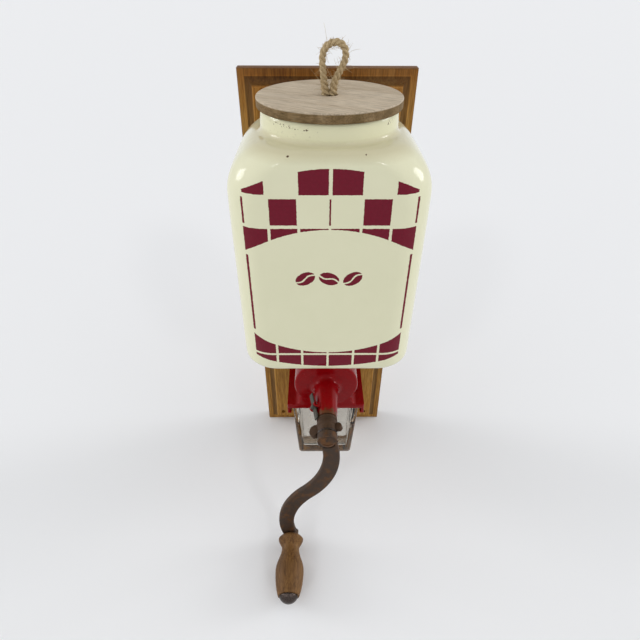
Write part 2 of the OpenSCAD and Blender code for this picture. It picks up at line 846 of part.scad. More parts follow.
module crank_arm() {
    color("sienna")
    difference() {
        union() {
            on_crank(hub_back) cylinder(h = hub_l, r = hub_r);
            on_crank(bar_back) linear_extrude(bar_t)
                polygon(concat(bar_edge(1), reversed(bar_edge(-1))));
            on_crank(bar_back) translate([0, -crank_r, 0]) cylinder(h = bar_t, r = eye_r);
        }
        outward(hub_back - over) translate([-square_w / 2 - fit, -square_w / 2 - fit, 0])
            cube([square_w + 2 * fit, square_w + 2 * fit, hub_l + 2 * over]);
        on_crank(bar_back - over) translate([0, -crank_r, 0])
            cylinder(h = bar_t + 2 * over, r = spindle_r + fit);
    }
}

module crank_screw() {
    head_r = 5.4;
    head_h = 2.2;
    color("sienna")
    outward(crank_front) screw(crank_screw_r, crank_screw_l - 2 * gap, head_r, head_h);
}

module grip_spindle() {
    color("silver")
    on_crank(bar_back) translate([0, -crank_r, 0]) {
        cylinder(h = cap_back - bar_back + cap_l / 2, r = spindle_r);
        translate([0, 0, -rivet_t]) cylinder(h = rivet_t, r = rivet_r);
    }
}

module grip_washer() {
    color("silver")
    on_crank(crank_front) translate([0, -crank_r, 0]) difference() {
        cylinder(h = grip_washer_t, r = grip_neck_r);
        translate([0, 0, -over]) cylinder(h = grip_washer_t + 2 * over, r = spindle_r + fit);
    }
}

// Radius of the grip between its turns, eased like a turner's sweep
function eased(a, b, t) = a + (b - a) * (1 - cos(180 * t)) / 2;

module grip() {
    steps = 8;
    // From the belly to the end the outline follows an ellipse
    end_turn = acos(grip_end_r / belly_r);
    outline = concat(
        [for (i = [0 : len(grip_turns) - 2], s = [0 : steps - 1])
            let (a = grip_turns[i], b = grip_turns[i + 1], t = s / steps)
            [eased(a[1], b[1], t), a[0] + (b[0] - a[0]) * t]],
        [for (s = [0 : steps]) let (turn = end_turn * s / steps)
            [belly_r * cos(turn), belly_at + (grip_l - belly_at) * sin(turn) / sin(end_turn)]],
        [[spindle_r + fit, grip_l], [spindle_r + fit, 0]]);
    color("saddlebrown")
    on_crank(grip_back) translate([0, -crank_r, 0]) rotate_extrude() polygon(outline);
}

module grip_cap() {
    cap_r = grip_end_r - 1.4;
    rim = 2;
    dome = dome_of(cap_r, cap_l - rim);
    color("dimgray")
    on_crank(cap_back) translate([0, -crank_r, 0]) difference() {
        rotate_extrude() intersection() {
            square([cap_r, cap_l]);
            translate([0, cap_l - dome]) circle(dome);
        }
        translate([0, 0, -over]) cylinder(h = cap_l / 2 + over + fit, r = spindle_r + fit);
    }
}

// Level slice of the glass at height y below the axis, inset from its outside
module glass_slice(y, inset) {
    t = (glass_top_y - y) / glass_h;
    w = glass_top_w - 2 * (inset + glass_taper * t);
    d = glass_top_d - 2 * (inset + glass_taper * t);
    r = glass_corner_r - inset / 2;
    translate([0, -(glass_front + glass_back) / 2, axis_z + y]) linear_extrude(0.01)
        for (x = [-1, 1], s = [-1, 1])
            translate([x * (w / 2 - r), s * (d / 2 - r)]) circle(r, $fn = 32);
}

module catch_glass() {
    low = glass_top_y - glass_h;
    color("lightcyan", 0.5)
    difference() {
        union() {
            hull() {
                glass_slice(glass_top_y - 0.01, 0);
                glass_slice(low, 0);
            }
            for (side = [0, 1]) mirror([side, 0, 0])
                translate([
                    glass_top_w / 2 - glass_wall / 2, -glass_front + glass_corner_r, axis_z + glass_top_y - lug_t])
                    cube([glass_wall / 2 + lug_w, glass_top_d - 2 * glass_corner_r, lug_t]);
        }
        hull() {
            glass_slice(glass_top_y + over, glass_wall);
            glass_slice(low + glass_floor, glass_wall);
        }
    }
}

backboard();
hopper();
hopper_gasket();
hopper_screws();
hopper_washers();
lid_disc();
lid_plug();
lid_pins();
lid_loop();
lid_knot();
mill_body();
body_screws();
bearing_plate();
plate_screws();
ring_burr();
ring_screws();
cone_burr();
feed_screw();
drive_shaft();
drive_pin();
shaft_spring();
front_bush();
adjusting_nut();
thrust_washer();
lock_lever();
lock_pin();
crank_arm();
crank_screw();
grip_spindle();
grip_washer();
grip();
grip_cap();
catch_glass();
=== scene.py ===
"""Wall mounted coffee mill: oak backboard, cream ceramic hopper with dark red checks,
red enamelled mill, iron S crank, and a glass that catches the grounds."""

import math
import random

import bmesh
import bpy
from mathutils import Matrix, Vector


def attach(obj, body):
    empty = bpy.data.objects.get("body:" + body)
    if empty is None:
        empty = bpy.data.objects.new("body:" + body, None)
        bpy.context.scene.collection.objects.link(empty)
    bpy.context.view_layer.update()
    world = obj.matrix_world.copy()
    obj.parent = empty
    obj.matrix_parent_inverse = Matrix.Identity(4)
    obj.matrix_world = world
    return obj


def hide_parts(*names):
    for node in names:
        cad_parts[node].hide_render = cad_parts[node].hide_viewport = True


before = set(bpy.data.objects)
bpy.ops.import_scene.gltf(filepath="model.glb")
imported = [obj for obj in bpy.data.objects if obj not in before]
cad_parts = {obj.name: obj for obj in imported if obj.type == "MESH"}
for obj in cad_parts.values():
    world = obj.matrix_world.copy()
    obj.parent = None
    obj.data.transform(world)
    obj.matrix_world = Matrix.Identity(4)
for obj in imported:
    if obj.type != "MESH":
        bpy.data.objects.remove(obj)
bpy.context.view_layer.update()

MM = 0.001
AXIS_Z = -34.3  # height of the shaft, in millimetres
MID = 67.0  # distance of the hopper's upright axis from the wall
LID_TOP = 172.6
BOARD_W, BOARD_H, BORDER, COVE_R = 122.0, 353.0, 4.5, 6.0
BOARD_FRONT, CASTING_FRONT = 16.0, 97.5  # distances from the wall
FLOOR_Z = -BOARD_H / 2 - 0.05  # just under the board
CRANK_R = 134.0
BAR_BACK, CRANK_FRONT = 147.5, 152.5
SHAFT_HOLE_R, BUSH_HOLE_R, SPINDLE_HOLE_R = 4.96, 6.05, 2.55
REST = math.radians(13)  # swing of the hanging crank
GRIP_X, GRIP_Z = -CRANK_R * math.sin(REST), AXIS_Z - CRANK_R * math.cos(REST)


# Camera, as in the photograph

def place_camera():
    pitch, yaw, roll = math.radians(38.01), math.radians(0.61), math.radians(0.28)
    ahead = Vector((math.sin(yaw) * math.cos(pitch), math.cos(yaw) * math.cos(pitch), -math.sin(pitch)))
    right = Vector((math.cos(yaw), -math.sin(yaw), 0))
    up = right.cross(ahead)
    side = math.cos(roll) * right + math.sin(roll) * up
    top = -math.sin(roll) * right + math.cos(roll) * up
    eye = Vector((-7.9, -354.76, 233.35)) * MM
    data = bpy.data.cameras.new("camera")
    data.lens, data.sensor_width, data.clip_start, data.clip_end = 25.94, 36, 0.01, 200
    camera = bpy.data.objects.new("camera", data)
    bpy.context.scene.collection.objects.link(camera)
    turn = Matrix((side, top, -ahead)).transposed().to_4x4()
    camera.matrix_world = Matrix.Translation(eye) @ turn
    bpy.context.scene.camera = camera


place_camera()


# Shader helpers

def linear(code):
    """The linear colour of an sRGB hex code."""
    parts = [int(code[i : i + 2], 16) / 255 for i in (1, 3, 5)]
    return (*[c / 12.92 if c <= 0.04045 else ((c + 0.055) / 1.055) ** 2.4 for c in parts], 1)


def add(tree, kind, inputs=(), stops=(), **settings):
    """Adds a node with its settings, ramp stops and inputs (values or links), and gives its main output."""
    node = tree.nodes.new("ShaderNode" + kind)
    for key, value in settings.items():
        setattr(node, key, value)
    while stops and len(node.color_ramp.elements) < len(stops):
        node.color_ramp.elements.new(0.5)
    for number, (place, value) in enumerate(stops):
        element = node.color_ramp.elements[number]
        element.position = place
        element.color = value if isinstance(value, tuple) else (value, value, value, 1)
    for key, value in inputs.items() if isinstance(inputs, dict) else enumerate(inputs):
        if isinstance(value, bpy.types.NodeSocket):
            tree.links.new(value, node.inputs[key])
        else:
            node.inputs[key].default_value = value
    return next(out for out in node.outputs if out.enabled)


def new_material(name, **constants):
    """A material with one principled shader, and the values that don't vary set on it."""
    mat = bpy.data.materials.new(name)
    mat.use_nodes = True
    shader = mat.node_tree.nodes["Principled BSDF"]
    for key, value in constants.items():
        shader.inputs[key.replace("_", " ")].default_value = value
    return mat, mat.node_tree, shader


def in_mm(tree, vector):
    """The three coordinates in millimetres."""
    part = add(tree, "SeparateXYZ", {0: vector})
    return [add(tree, "Math", [part.node.outputs[i], 1000.0], operation="MULTIPLY") for i in range(3)]


# Materials

def wood(name, dark, mid, light, along, ring_mm, roughness, swing=0.0, painted_light=None):
    """Straight grained timber: broad growth bands, fine streaks and open pores that run along one axis."""
    mat, tree, shader = new_material(name, Roughness=roughness, IOR=1.45, Specular_IOR_Level=0.18)
    stretch = [1.0, 1.0, 1.0]
    stretch[along] = 22.0
    where = add(
        tree, "Mapping",
        {
            "Vector": add(tree, "TexCoord").node.outputs["Object"], "Rotation": (0, 0, math.radians(swing)),
            "Scale": stretch,
        },
        vector_type="TEXTURE",
    )
    broad = add(
        tree, "TexNoise",
        {
            "Vector": where, "Scale": 1000 / (3.2 * ring_mm), "Detail": 2.0, "Roughness": 0.5,
            "Distortion": 0.6,
        },
    )
    streak = add(
        tree, "TexNoise",
        {"Vector": where, "Scale": 1000 / 1.6, "Detail": 4.0, "Roughness": 0.65, "Distortion": 0.3},
    )
    pore = add(tree, "TexNoise", {"Vector": where, "Scale": 1000 / 0.55, "Detail": 2.0, "Roughness": 0.6})
    tone = add(
        tree, "Math", [streak, 0.5, add(tree, "Math", [broad, 0.5], operation="MULTIPLY")],
        operation="MULTIPLY_ADD",
    )
    colour = add(
        tree, "ValToRGB", [tone], stops=[(0.34, linear(dark)), (0.5, linear(mid)), (0.66, linear(light))]
    )
    pits = add(tree, "ValToRGB", [pore], stops=[(0.41, 0.45), (0.55, 1.0)])
    colour = add(tree, "Mix", {0: 0.6, 6: colour, 7: pits}, data_type="RGBA", blend_type="MULTIPLY")
    # Painted light and shade, when given, laid over the grain
    if painted_light:
        colour = painted_light(tree, colour)
    tree.links.new(colour, shader.inputs["Base Color"])
    tree.links.new(
        add(
            tree, "Bump",
            {"Height": add(tree, "Math", [pits, streak], operation="ADD"), "Distance": 0.06 * MM},
        ),
        shader.inputs["Normal"],
    )
    return mat


def board_painted_light(tree, colour):
    """Painted shade in the cove, on the board's side faces and towards the top, and painted highlights along
    the arrises.
    """
    x, y, z = in_mm(tree, add(tree, "TexCoord").node.outputs["Object"])
    side = add(
        tree, "Math", [BOARD_W / 2, add(tree, "Math", [x], operation="ABSOLUTE")], operation="SUBTRACT"
    )
    end = add(tree, "Math", [BOARD_H / 2, add(tree, "Math", [z], operation="ABSOLUTE")], operation="SUBTRACT")
    span = 16.0
    inward = add(
        tree, "Math", [add(tree, "Math", [side, end], operation="MINIMUM"), span], operation="DIVIDE"
    )
    outer, inner = BORDER / span, (BORDER + COVE_R) / span
    # Across the moulded front: painted shade on the side faces and in the cove, painted highlights on the two
    # arrises
    moulding_painted_light = add(tree, "ValToRGB", [inward], stops=[
        (0.0, 0.5), (0.06, 0.8), (outer - 0.04, 0.85), (outer, 1.1), (outer + 0.04, 0.4),
        (inner - 0.05, 0.38), (inner, 1.0), (inner + 0.05, 0.9)])
    front = add(tree, "Math", [y, -0.5], operation="LESS_THAN")
    colour = add(
        tree, "Mix",
        {
            0: front, 6: colour,
            7: add(tree, "Mix", {0: 1.0, 6: colour, 7: moulding_painted_light}, data_type="RGBA", blend_type="MULTIPLY"),
        },
        data_type="RGBA",
    )
    # Painted shade that deepens and reddens towards the top of the board
    top_shade_mm = 40.0
    upper = add(tree, "Math", [z, 0.0], operation="GREATER_THAN")
    down = add(tree, "Math", [end, 1 / top_shade_mm], operation="MULTIPLY")
    near_top = add(
        tree, "Math", [upper, add(tree, "Math", [1.0, down], operation="SUBTRACT")], operation="MULTIPLY"
    )
    top_painted_shade = add(
        tree, "ValToRGB", [near_top],
        stops=[(0.0, (1, 1, 1, 1)), (0.72, (0.76, 0.67, 0.62, 1)), (0.9, (0.62, 0.49, 0.41, 1))],
    )
    return add(tree, "Mix", {0: 1.0, 6: colour, 7: top_painted_shade}, data_type="RGBA", blend_type="MULTIPLY")


def lid_painted_shade(tree, colour):
    """Painted shade on the lid's side and underside, in mottled tones."""
    z = in_mm(tree, add(tree, "TexCoord").node.outputs["Object"])[2]
    # Painted shade on everything more than a millimetre below the top face
    edge = add(
        tree, "ValToRGB", [add(tree, "Math", [LID_TOP, z], operation="SUBTRACT")],
        stops=[(0.4, 0.0), (1.0, 1.0)],
    )
    patch = add(
        tree, "TexNoise",
        {
            "Vector": add(tree, "TexCoord").node.outputs["Object"], "Scale": 1000 / 9.0, "Detail": 3.0,
            "Roughness": 0.6,
        },
    )
    side_painted_shade = add(
        tree, "ValToRGB", [patch],
        stops=[(0.36, linear("#8d7f62")), (0.52, linear("#a8977a")), (0.66, linear("#b9ac93"))],
    )
    return add(
        tree, "Mix",
        {
            0: edge, 6: colour,
            7: add(tree, "Mix", {0: 1.0, 6: colour, 7: side_painted_shade}, data_type="RGBA", blend_type="MULTIPLY"),
        },
        data_type="RGBA",
    )


def rusty(name, base, worn, rust, rust_at, metallic, roughness=0.62, spot_mm=3.0, near=None):
    """Dark handled iron: a brown skin in two tones, with rust in patches and, if asked, near one place."""
    mat, tree, shader = new_material(name, Metallic=metallic, Specular_IOR_Level=0.25)
    where = add(tree, "TexCoord").node.outputs["Object"]
    patch = add(
        tree, "TexNoise", {"Vector": where, "Scale": 1000 / (4 * spot_mm), "Detail": 5.0, "Roughness": 0.65}
    )
    fine = add(
        tree, "TexNoise",
        {"Vector": where, "Scale": 1000 / (0.25 * spot_mm), "Detail": 4.0, "Roughness": 0.7},
    )
    colour = add(
        tree, "Mix",
        {
            0: add(tree, "ValToRGB", [fine], stops=[(0.35, 0.0), (0.68, 1.0)]), 6: linear(base),
            7: linear(worn),
        },
        data_type="RGBA",
    )
    amount = add(
        tree, "Math", [fine, 0.35, add(tree, "Math", [patch, 0.65], operation="MULTIPLY")],
        operation="MULTIPLY_ADD",
    )
    if near:
        place, reach = near
        away = add(tree, "VectorMath", {0: where, 1: Vector(place) * MM}, operation="DISTANCE")
        close = add(
            tree, "Math", [1.0, add(tree, "Math", [away, reach * MM], operation="DIVIDE")],
            operation="SUBTRACT",
        )
        amount = add(
            tree, "Math", [add(tree, "Math", [close, 0.0], operation="MAXIMUM"), 0.12, amount],
            operation="MULTIPLY_ADD",
        )
    orange = add(tree, "ValToRGB", [amount], stops=[(rust_at, 0.0), (rust_at + 0.12, 1.0)])
    tree.links.new(
        add(tree, "Mix", {0: orange, 6: colour, 7: linear(rust)}, data_type="RGBA"),
        shader.inputs["Base Color"],
    )
    tree.links.new(
        add(tree, "ValToRGB", [fine], stops=[(0.3, roughness - 0.14), (0.7, roughness + 0.14)]),
        shader.inputs["Roughness"],
    )
    tree.links.new(add(tree, "Bump", {"Height": fine, "Distance": 0.12 * MM}), shader.inputs["Normal"])
    return mat


def metal(name, colour, roughness):
    """Plain metal with a faint uneven polish."""
    mat, tree, shader = new_material(name, Metallic=1.0, Base_Color=linear(colour))
    speckle = add(
        tree, "TexNoise",
        {
            "Vector": add(tree, "TexCoord").node.outputs["Object"], "Scale": 1000 / 0.8, "Detail": 4.0,
            "Roughness": 0.6,
        },
    )
    tree.links.new(
        add(tree, "ValToRGB", [speckle], stops=[(0.3, roughness - 0.1), (0.7, roughness + 0.1)]),
        shader.inputs["Roughness"],
    )
    tree.links.new(add(tree, "Bump", {"Height": speckle, "Distance": 0.02 * MM}), shader.inputs["Normal"])
    return mat


def soft_stuff(name, dark, light, grain_mm):
    """Cork, leather or cord: two mottled tones and a matt grain."""
    mat, tree, shader = new_material(name, Roughness=0.9, IOR=1.45)
    grain = add(
        tree, "TexNoise",
        {
            "Vector": add(tree, "TexCoord").node.outputs["Object"], "Scale": 1000 / grain_mm, "Detail": 5.0,
            "Roughness": 0.7,
        },
    )
    tree.links.new(
        add(tree, "ValToRGB", [grain], stops=[(0.36, linear(dark)), (0.64, linear(light))]),
        shader.inputs["Base Color"],
    )
    tree.links.new(add(tree, "Bump", {"Height": grain, "Distance": 0.12 * MM}), shader.inputs["Normal"])
    return mat


def red_enamel():
    """Stove enamel on cast iron: deep red over a soft ripple, rusted where it chips and at the tube's end."""
    mat, tree, shader = new_material(
        "red_enamel", IOR=1.5, Specular_IOR_Level=0.25, Specular_Tint=(1.0, 0.4, 0.4, 1))
    where = add(tree, "TexCoord").node.outputs["Object"]
    ripple = add(tree, "TexNoise", {"Vector": where, "Scale": 1000 / 5.0, "Detail": 3.0, "Roughness": 0.5})
    chip = add(tree, "TexNoise", {"Vector": where, "Scale": 1000 / 2.2, "Detail": 6.0, "Roughness": 0.7})
    colour = add(tree, "Mix", {0: ripple, 6: linear("#700207"), 7: linear("#88040a")}, data_type="RGBA")
    # More chips over the last stretch of the tube
    worn_from, worn_mm = 122.0, 10.0
    out = add(tree, "Math", [in_mm(tree, where)[1], -1.0], operation="MULTIPLY")
    share = add(tree, "Math", [out, 1 / worn_mm, -worn_from / worn_mm], operation="MULTIPLY_ADD")
    worn = add(tree, "ValToRGB", [share], stops=[(0.0, 0.0), (0.9, 0.36)])
    bare = add(
        tree, "ValToRGB", [add(tree, "Math", [chip, worn], operation="ADD")],
        stops=[(0.72, 0.0), (0.76, 1.0)],
    )
    rust = add(tree, "Mix", {0: ripple, 6: linear("#3d261a"), 7: linear("#6b4426")}, data_type="RGBA")
    tree.links.new(
        add(tree, "Mix", {0: bare, 6: colour, 7: rust}, data_type="RGBA"), shader.inputs["Base Color"]
    )
    tree.links.new(
        add(tree, "ValToRGB", [chip], stops=[(0.45, 0.1), (0.75, 0.42)]), shader.inputs["Roughness"]
    )
    tree.links.new(add(tree, "Bump", {"Height": ripple, "Distance": 0.07 * MM}), shader.inputs["Normal"])
    return mat


def cream_glaze():
    """Ivory glaze over earthenware, with dark red checks and three beans stencilled on the front."""
    mat, tree, shader = new_material("cream_glaze", IOR=1.52, Specular_IOR_Level=0.2)
    where = add(tree, "TexCoord").node.outputs["Object"]
    # The stencil's edges waver by a fraction of a millimetre
    waver_mm, step_mm = 0.7, 1.111
    noise = add(tree, "TexNoise", {"Vector": where, "Scale": 1000 / step_mm, "Detail": 3.0})
    ragged = noise.node.outputs["Color"]
    wobble = add(tree, "VectorMath", {0: ragged, 1: (0.5, 0.5, 0.5), 2: (0, 0, 0)}, operation="SUBTRACT")
    moved = add(tree, "VectorMath", {0: wobble, 1: [waver_mm * MM] * 3, 2: where}, operation="MULTIPLY_ADD")
    x, y, z = in_mm(tree, moved)
    across = add(tree, "Math", [x], operation="ABSOLUTE")

    def between(value, low, high):
        """1 where the value lies between two limits."""
        above = add(tree, "Math", [value, low], operation="GREATER_THAN")
        return add(
            tree, "Math", [above, add(tree, "Math", [value, high], operation="LESS_THAN")],
            operation="MULTIPLY",
        )

    def both(*masks):
        """1 where all the masks are 1."""
        result = masks[0]
        for m in masks[1:]:
            result = add(tree, "Math", [result, m], operation="MULTIPLY")
        return result

    def arch(crown, radius):
        """Height of an arc with its crown on the middle line; a negative radius bends upwards."""
        square = add(
            tree, "Math", [radius * radius, add(tree, "Math", [across, 2.0], operation="POWER")],
            operation="SUBTRACT",
        )
        height = add(tree, "Math", [square], operation="SQRT")
        sign = 1.0 if radius > 0 else -1.0
        return add(tree, "Math", [height, sign, crown - radius], operation="MULTIPLY_ADD")

    def columns():
        """Everything out to the border, less the thin upright gaps between the columns."""
        clear = []
        for gap, half in ((0.0, 0.75), (17.6, 0.75), (34.6, 0.8)):
            off = add(tree, "Math", [across, gap], operation="SUBTRACT")
            off = add(tree, "Math", [off], operation="ABSOLUTE")
            clear.append(add(tree, "Math", [off, half], operation="GREATER_THAN"))
        return both(add(tree, "Math", [across, 49.6], operation="LESS_THAN"), *clear)

    top, head, sill, foot = arch(147.7, 100.0), arch(112.9, 90.6), arch(20.1, -90.2), arch(7.2, -152.0)
    # Rows of checks from the top down, with thin upright lines at the middle and the sides
    shapes = [
        both(between(across, 1.0, 17.4), between(z, 133.4, top)),
        both(between(across, 36.0, 48.6), between(z, 133.6, top)),
        both(between(across, 18.6, 33.9), between(z, 115.6, 131.2)),
        both(add(tree, "Math", [across, 0.5], operation="LESS_THAN"), between(z, 115.6, 131.2)),
        both(between(across, 48.3, 49.6), between(z, 115.6, 131.2)),
        both(columns(), between(z, head, 113.6)),
        both(between(across, 48.1, 49.6), between(z, 38.6, 95.4)),
        both(columns(), between(z, 19.2, sill)),
        both(columns(), between(z, foot, 17.6)),
    ]
    # Beans in the middle of the panel
    for at, turn in ((-14.5, 0.5), (0.0, -0.35), (14.5, 0.6)):
        east = add(tree, "Math", [x, at], operation="SUBTRACT")
        north = add(tree, "Math", [z, 80.0], operation="SUBTRACT")
        c, s = math.cos(turn), math.sin(turn)
        u = add(
            tree, "Math", [east, c, add(tree, "Math", [north, s], operation="MULTIPLY")],
            operation="MULTIPLY_ADD",
        )
        v = add(
            tree, "Math", [east, -s, add(tree, "Math", [north, c], operation="MULTIPLY")],
            operation="MULTIPLY_ADD",
        )
        # An oval, less a crease that runs along it in a wave
        shares = []
        for value, half in ((u, 6.4), (v, 4.3)):
            share = add(tree, "Math", [value, half], operation="DIVIDE")
            share = add(tree, "Math", [share], operation="ABSOLUTE")
            shares.append(add(tree, "Math", [share, 2.0], operation="POWER"))
        oval = add(tree, "Math", [add(tree, "Math", shares, operation="ADD"), 1.0], operation="LESS_THAN")
        wave = add(tree, "Math", [add(tree, "Math", [u, 0.55], operation="MULTIPLY")], operation="SINE")
        crease = add(tree, "Math", [wave, 0.8], operation="MULTIPLY")
        off = add(tree, "Math", [add(tree, "Math", [v, crease], operation="SUBTRACT")], operation="ABSOLUTE")
        shapes.append(both(oval, add(tree, "Math", [off, 0.5], operation="GREATER_THAN")))
    mask = shapes[0]
    for shape in shapes[1:]:
        mask = add(tree, "Math", [mask, shape], operation="MAXIMUM")
    # On the front alone
    mask = both(mask, add(tree, "Math", [y, -108.0], operation="LESS_THAN"))
    cloud = add(tree, "TexNoise", {"Vector": where, "Scale": 1000 / 30.0, "Detail": 4.0, "Roughness": 0.6})
    fine = add(tree, "TexNoise", {"Vector": where, "Scale": 1000 / 1.4, "Detail": 5.0, "Roughness": 0.7})
    cream = add(tree, "Mix", {0: cloud, 6: linear("#dcdbbb"), 7: linear("#e3e1c3")}, data_type="RGBA")
    # Painted shade on the shoulder, where the lid's shadow falls, and a faint warm tint on the neck
    level = add(tree, "Math", [add(tree, "Math", [z, 140.0], operation="SUBTRACT"), 30.0], operation="DIVIDE")
    tone = add(
        tree, "ValToRGB", [level],
        stops=[
            (0.3, (1, 1, 1, 1)), (0.46, (0.84, 0.8, 0.75, 1)), (0.56, (0.84, 0.8, 0.75, 1)),
            (0.63, (1, 0.99, 0.95, 1)),
        ],
    )
    cream = add(tree, "Mix", {0: 1.0, 6: cream, 7: tone}, data_type="RGBA", blend_type="MULTIPLY")
    # Chips along the front corners, on the brow and under the lid
    chips = [add(tree, "ValToRGB", [fine], stops=[(0.745, 0.0), (0.765, 1.0)])]
    for at, size in (
        ((-53.5, -115, 83), 0.8), ((-52.7, -115, 58), 0.6), ((-52.2, -115, 44), 0.7),
        ((-50.1, -116, 25), 0.7), ((44.2, -118, 67), 0.6), ((-22.6, -115, 153.4), 0.8),
        ((18.1, -115, 154.3), 0.7),
    ):
        far = add(tree, "VectorMath", {0: moved, 1: Vector(at) * MM}, operation="DISTANCE")
        chips.append(add(tree, "Math", [far, size * MM], operation="LESS_THAN"))
    for low, high in ((-31.0, -12.0), (31.0, 36.0)):
        rim = both(
            between(x, low, high), between(z, 162.8, 164.6),
            add(tree, "Math", [y, -84.0], operation="LESS_THAN"),
        )
        chips.append(both(rim, add(tree, "Math", [fine, 0.57], operation="GREATER_THAN")))
    specked = both(
        between(x, -37.0, -6.0), between(z, 157.0, 164.6),
        add(tree, "Math", [y, -84.0], operation="LESS_THAN"),
    )
    chips.append(both(specked, add(tree, "ValToRGB", [fine], stops=[(0.6, 0.0), (0.72, 0.5)])))
    chip = chips[0]
    for one in chips[1:]:
        chip = add(tree, "Math", [chip, one], operation="MAXIMUM")
    paint = add(tree, "Mix", {0: fine, 6: linear("#5e001a"), 7: linear("#780926")}, data_type="RGBA")
    coloured = add(
        tree, "Mix",
        {
            0: chip, 6: add(tree, "Mix", {0: mask, 6: cream, 7: paint}, data_type="RGBA"),
            7: linear("#5a4636"),
        },
        data_type="RGBA",
    )
    tree.links.new(coloured, shader.inputs["Base Color"])
    tree.links.new(
        add(tree, "ValToRGB", [cloud], stops=[(0.3, 0.07), (0.7, 0.12)]), shader.inputs["Roughness"]
    )
    tree.links.new(add(tree, "Bump", {"Height": cloud, "Distance": 0.5 * MM}), shader.inputs["Normal"])
    return mat


def clear_glass():
    """Thick pressed glass, clear, with slightly wavy faces."""
    # The grey tint is painted shade: it darkens the glass to the level it has in the hopper's shade
    mat, tree, shader = new_material(
        "clear_glass", Base_Color=linear("#ccc7bd"), Roughness=0.04, IOR=1.38, Transmission_Weight=1.0)
    where = add(tree, "TexCoord").node.outputs["Object"]
    waves = add(tree, "TexNoise", {"Vector": where, "Scale": 1000 / 12.0, "Detail": 2.0, "Roughness": 0.55})
    tree.links.new(add(tree, "Bump", {"Height": waves, "Distance": 0.05 * MM}), shader.inputs["Normal"])
    return mat


OAK_BOARD = wood(
    "oiled_oak", "#8a5a22", "#b8853c", "#cda05a", along=2, ring_mm=8.0, roughness=0.5, painted_light=board_painted_light
)
LID_OAK = wood(
    "weathered_oak", "#b3a28a", "#c6b69f", "#d2c4ae", along=0, ring_mm=4.0, roughness=0.75, swing=-28,
    painted_light=lid_painted_shade,
)
BEECH = wood("handled_beech", "#4e341b", "#74522e", "#8c683b", along=1, ring_mm=5.0, roughness=0.5)
GLAZE = cream_glaze()
RED = red_enamel()
GLASS = clear_glass()
IRON = rusty(
    "crank_iron", "#2d231c", "#524135", "#5f3f23", rust_at=0.49, metallic=0.3, spot_mm=1.6,
    near=((0, -152, AXIS_Z + 1), 7),
)
NUT_IRON = rusty("nut_iron", "#37271b", "#523c2b", "#6b4326", rust_at=0.6, metallic=0.35)
CAP_STEEL = rusty("cap_steel", "#2e2624", "#574d48", "#5d4030", rust_at=0.68, metallic=0.8, roughness=0.28)
LEVER_STEEL = rusty("lever_steel", "#37352f", "#57544b", "#6a4a30", rust_at=0.66, metallic=0.7, roughness=0.5)
STEEL = metal("screw_steel", "#8f8b84", 0.38)
BURR_IRON = metal("burr_iron", "#55534f", 0.5)
BRONZE = metal("bush_bronze", "#a97f45", 0.35)
JUTE = soft_stuff("jute", "#8f7a57", "#cfb992", 0.5)
CORK = soft_stuff("cork", "#7a532e", "#b98a57", 1.5)
LEATHER = soft_stuff("leather", "#43281a", "#6b432b", 0.8)


# Modelling helpers. Lengths are in millimetres; a piece lies where it belongs, with its object at the origin.

def outward(distance):
    """On the shaft's axis: x to the right, y up, z out from the wall."""
    return Matrix.Translation((0, -distance, AXIS_Z)) @ Matrix.Rotation(math.pi / 2, 4, "X")


def on_crank(distance):
    """The hanging crank: its bar runs to -y."""
    return outward(distance) @ Matrix.Rotation(-REST, 4, "Z")


def on_grip(distance):
    """On the grip's axis: z out from the wall."""
    return Matrix.Translation((GRIP_X, -distance, GRIP_Z)) @ Matrix.Rotation(math.pi / 2, 4, "X")


def on_hopper(z=0.0):
    """On the hopper's upright axis, at a height."""
    return Matrix.Translation((0, -MID, z))


def turned(bm, outline, matrix, steps):
    """Spins an outline of (radius, height) points about z."""
    verts = [bm.verts.new((r, 0, h)) for r, h in outline]
    edges = [bm.edges.new(pair) for pair in zip(verts, verts[1:] + verts[:1])]
    made = bmesh.ops.spin(
        bm, geom=verts + edges, cent=(0, 0, 0), axis=(0, 0, 1), angle=2 * math.pi, steps=steps,
        use_merge=True,
    )
    linked = set()
    todo = verts + [v for v in made["geom_last"] if isinstance(v, bmesh.types.BMVert)]
    while todo:
        v = todo.pop()
        if v.is_valid and v not in linked:
            linked.add(v)
            todo.extend(e.other_vert(v) for e in v.link_edges)
    bmesh.ops.transform(bm, matrix=matrix, verts=list(linked))


def arc(centre, radius, start, end, steps=8):
    """Points on an arc, with angles in degrees."""
    return [
        (centre[0] + radius * math.cos(math.radians(start + (end - start) * i / steps)),
         centre[1] + radius * math.sin(math.radians(start + (end - start) * i / steps)))
        for i in range(steps + 1)
    ]


def loft(bm, rings, around=False, caps=False):
    """Skins a row of rings with the same number of points."""
    loops = []
    for ring in rings:
        verts = [bm.verts.new(p) for p in ring]
        loops.append([bm.edges.new(pair) for pair in zip(verts, verts[1:] + verts[:1])])
    after = loops[1:] + (loops[:1] if around else [])
    for a, b in zip(loops, after):
        bmesh.ops.bridge_loops(bm, edges=a + b)
    if caps:
        for end in (loops[0], loops[-1]):
            bmesh.ops.contextual_create(bm, geom=end)


